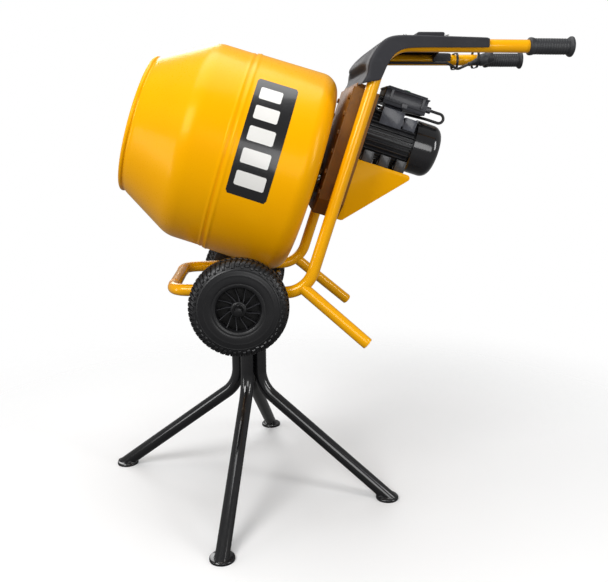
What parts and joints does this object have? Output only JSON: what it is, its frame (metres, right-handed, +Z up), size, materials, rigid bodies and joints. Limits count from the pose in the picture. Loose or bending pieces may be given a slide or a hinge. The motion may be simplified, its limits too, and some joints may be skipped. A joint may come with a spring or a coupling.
{
  "type": "concrete mixer",
  "caption": "Tip-up concrete mixer: a tilted drum, geared motor and moulded hood on a wheeled tube frame, standing on a four-leg swivel stand.",
  "frame": {"origin": "on the floor, at the middle of the machine's length and width", "axes": "+X to the handles, +Y to the far side, +Z up; the drum's mouth points to -X and up"},
  "size_m": [1.2691, 0.9062, 1.307],
  "materials": {
    "yellow_paint": "gloss paint",
    "case_paint": "gloss paint",
    "black_paint": "gloss paint",
    "zinc_steel": "zinc plated",
    "machined_steel": "machined",
    "paddle_steel": "paint, worn",
    "tyre_rubber": "matt moulded rubber",
    "grip_rubber": "matt moulded rubber",
    "cable_rubber": "matt",
    "black_plastic": "fine moulded grain",
    "wheel_plastic": "moulded",
    "motor_casting": "paint on cast aluminium",
    "motor_cowl": "gloss paint",
    "winding": "varnished copper and laminations",
    "nylon": "satin",
    "green_plastic": "satin",
    "red_plastic": "satin"
  },
  "bodies": {
    "stand": {"leg_right": "black_paint", "leg_far": "black_paint", "leg_left": "black_paint", "leg_near": "black_paint", "feet": "black_paint", "stand_socket": "black_paint", "thrust_washer": "nylon"},
    "head": {"swivel_yoke": "black_paint", "swivel_spindle": "machined_steel", "axle_keepers": "zinc_steel"},
    "wheel_near": {"tyre_near": "tyre_rubber", "wheel_rim_near": "wheel_plastic"},
    "wheel_far": {"tyre_far": "tyre_rubber", "wheel_rim_far": "wheel_plastic"},
    "drum": {"drum_bowl": "yellow_paint", "drum_cone": "yellow_paint", "mouth_ring": "yellow_paint", "paddles": "paddle_steel", "paddle_bolts": "zinc_steel", "drum_hub": "case_paint", "drum_shaft": "machined_steel", "output_gear": "machined_steel"},
    "second_shaft": {"second_layshaft": "machined_steel", "second_gear": "machined_steel"},
    "first_shaft": {"first_layshaft": "machined_steel", "first_gear": "machined_steel"},
    "rotor": {"motor_rotor": "machined_steel", "motor_pinion": "machined_steel", "cooling_fan": "black_plastic"},
    "start_button": {"start_button": "green_plastic"},
    "stop_button": {"stop_button": "red_plastic"},
    "frame": {"side_tube_near": "yellow_paint", "side_tube_far": "yellow_paint", "front_bar": "yellow_paint", "rear_props": "yellow_paint", "axle": "zinc_steel", "axle_saddles": "yellow_paint", "axle_washers": "zinc_steel", "split_pins": "zinc_steel", "gear_case": "case_paint", "case_front": "case_paint", "case_bolts": "zinc_steel", "shaft_bearings": "machined_steel", "shaft_seal": "cable_rubber", "motor_bracket": "yellow_paint", "motor_housing": "motor_casting", "motor_flange": "motor_casting", "stator": "winding", "fan_cowl": "motor_cowl", "terminal_cover": "black_plastic", "motor_feet": "motor_casting", "switch_box": "black_plastic", "box_lid": "black_plastic", "cable_gland": "black_plastic", "motor_cable": "cable_rubber", "mains_lead": "cable_rubber", "lead_plug": "black_plastic", "hood": "black_plastic", "grips": "grip_rubber", "hood_screws": "zinc_steel"}
  },
  "joints": [
    {"name": "stand_swivel", "type": "hinge", "parent": "stand", "child": "head", "pos_m": [-0.19792, 0, 0.476], "axis": [0, 0, 1], "continuous": true},
    {"name": "tip_pivot", "type": "hinge", "parent": "head", "child": "frame", "pos_m": [-0.21392, 0, 0.617], "axis": [0, -1, 0], "range_deg": [0, 60]},
    {"name": "wheel_near_spin", "type": "hinge", "parent": "frame", "child": "wheel_near", "pos_m": [-0.21392, -0.2605, 0.617], "axis": [0, 1, 0], "continuous": true},
    {"name": "wheel_far_spin", "type": "hinge", "parent": "frame", "child": "wheel_far", "pos_m": [-0.21392, 0.2605, 0.617], "axis": [0, 1, 0], "continuous": true},
    {"name": "drum_spin", "type": "hinge", "parent": "frame", "child": "drum", "pos_m": [0.00753, 0, 0.92016], "axis": [-0.9537, 0, 0.3007], "continuous": true},
    {"name": "second_shaft_spin", "type": "hinge", "parent": "frame", "child": "second_shaft", "pos_m": [0.03048, 0.01346, 0.99295], "axis": [-0.9537, 0, 0.3007], "continuous": true},
    {"name": "first_shaft_spin", "type": "hinge", "parent": "frame", "child": "first_shaft", "pos_m": [0.04532, 0.01695, 1.04004], "axis": [-0.9537, 0, 0.3007], "continuous": true},
    {"name": "rotor_spin", "type": "hinge", "parent": "frame", "child": "rotor", "pos_m": [0.05835, 0, 1.08134], "axis": [-0.9537, 0, 0.3007], "continuous": true},
    {"name": "start_press", "type": "slide", "parent": "frame", "child": "start_button", "axis": [-0.3007, 0, -0.9537], "range_m": [0, 0.003], "stiffness_N_per_m": 500, "springref_m": -0.002},
    {"name": "stop_press", "type": "slide", "parent": "frame", "child": "stop_button", "axis": [-0.3007, 0, -0.9537], "range_m": [0, 0.003], "stiffness_N_per_m": 500, "springref_m": -0.002}
  ],
  "couplings": [
    {"joint": "second_shaft_spin", "follows": "drum_spin", "ratio": -4.1667},
    {"joint": "first_shaft_spin", "follows": "drum_spin", "ratio": 18.75},
    {"joint": "rotor_spin", "follows": "drum_spin", "ratio": -53.906}
  ]
}
